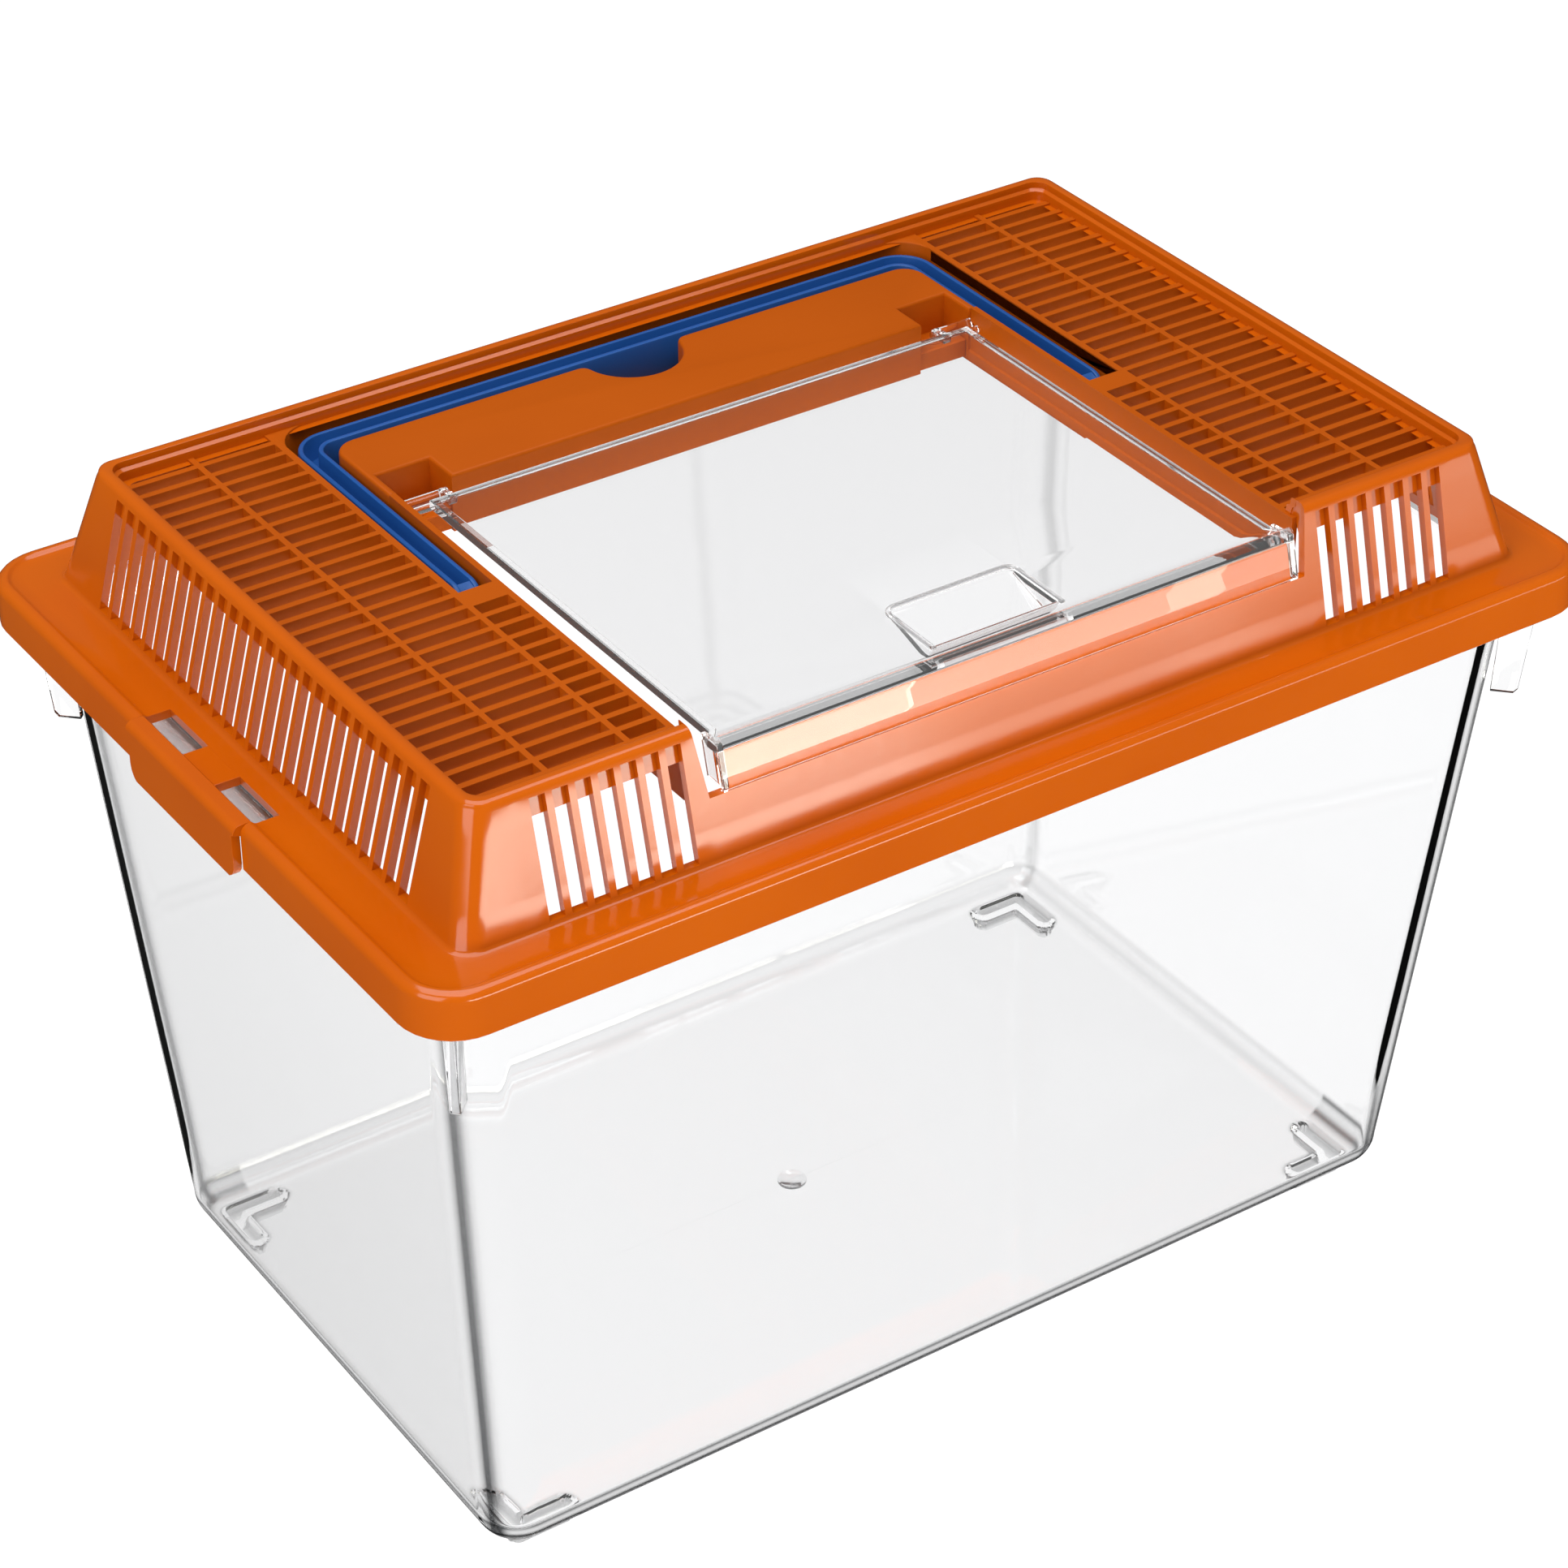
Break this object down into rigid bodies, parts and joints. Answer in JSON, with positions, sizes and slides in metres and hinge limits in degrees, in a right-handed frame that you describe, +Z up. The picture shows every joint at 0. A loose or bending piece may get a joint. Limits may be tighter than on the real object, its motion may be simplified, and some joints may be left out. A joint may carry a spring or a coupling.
{
  "type": "small pet carrying box",
  "caption": "Clear tapered small-pet box with a vented clip-down lid, a clear hinged top hatch and a fold-down carrying handle.",
  "frame": {"origin": "centre of the base, at the height of the feet", "axes": "+Z up, +X along the long side to the right, the hatch opens at the front, -Y"},
  "size_m": [0.3034, 0.1992, 0.2081],
  "materials": {
    "clear_plastic": "clear, polished",
    "hatch_plastic": "clear, polished",
    "orange_plastic": "glossy moulded",
    "blue_plastic": "satin moulded"
  },
  "bodies": {
    "tank": {"tank_shell": "clear_plastic", "corner_fin_front_left": "clear_plastic", "corner_fin_front_right": "clear_plastic", "corner_fin_rear_left": "clear_plastic", "corner_fin_rear_right": "clear_plastic", "foot_front_left": "clear_plastic", "foot_front_right": "clear_plastic", "foot_rear_left": "clear_plastic", "foot_rear_right": "clear_plastic"},
    "lid": {"lid_flange": "orange_plastic", "crown_wall_left": "orange_plastic", "crown_wall_right": "orange_plastic", "crown_wall_rear": "orange_plastic", "crown_wall_front_left": "orange_plastic", "crown_wall_front_middle": "orange_plastic", "crown_wall_front_right": "orange_plastic", "grille_left": "orange_plastic", "grille_right": "orange_plastic", "handle_channel_left": "orange_plastic", "handle_channel_right": "orange_plastic", "handle_channel_rear": "orange_plastic", "rear_bridge": "orange_plastic"},
    "handle": {"handle_grip": "blue_plastic"},
    "hatch": {"hatch_panel": "hatch_plastic", "hatch_lip": "hatch_plastic", "hatch_hinge_left": "hatch_plastic", "hatch_hinge_right": "hatch_plastic"},
    "latch_left": {"latch_tab_left": "orange_plastic"},
    "latch_right": {"latch_tab_right": "orange_plastic"}
  },
  "joints": [
    {"name": "lid_lift", "type": "slide", "parent": "tank", "child": "lid", "axis": [0, 0, 1], "range_m": [0, 0.06]},
    {"name": "handle_pivot", "type": "hinge", "parent": "lid", "child": "handle", "pos_m": [0, 0.0035, 0.1973], "axis": [1, 0, 0], "range_deg": [0, 95]},
    {"name": "hatch_hinge", "type": "hinge", "parent": "lid", "child": "hatch", "pos_m": [0, 0.0372, 0.2006], "axis": [-1, 0, 0], "range_deg": [0, 95]},
    {"name": "latch_left_flex", "type": "hinge", "parent": "lid", "child": "latch_left", "pos_m": [-0.1415, 0, 0.1793], "axis": [0, 1, 0], "range_deg": [0, 8], "stiffness_Nm_per_rad": 0.3},
    {"name": "latch_right_flex", "type": "hinge", "parent": "lid", "child": "latch_right", "pos_m": [0.1415, 0, 0.1793], "axis": [0, -1, 0], "range_deg": [0, 8], "stiffness_Nm_per_rad": 0.3}
  ]
}
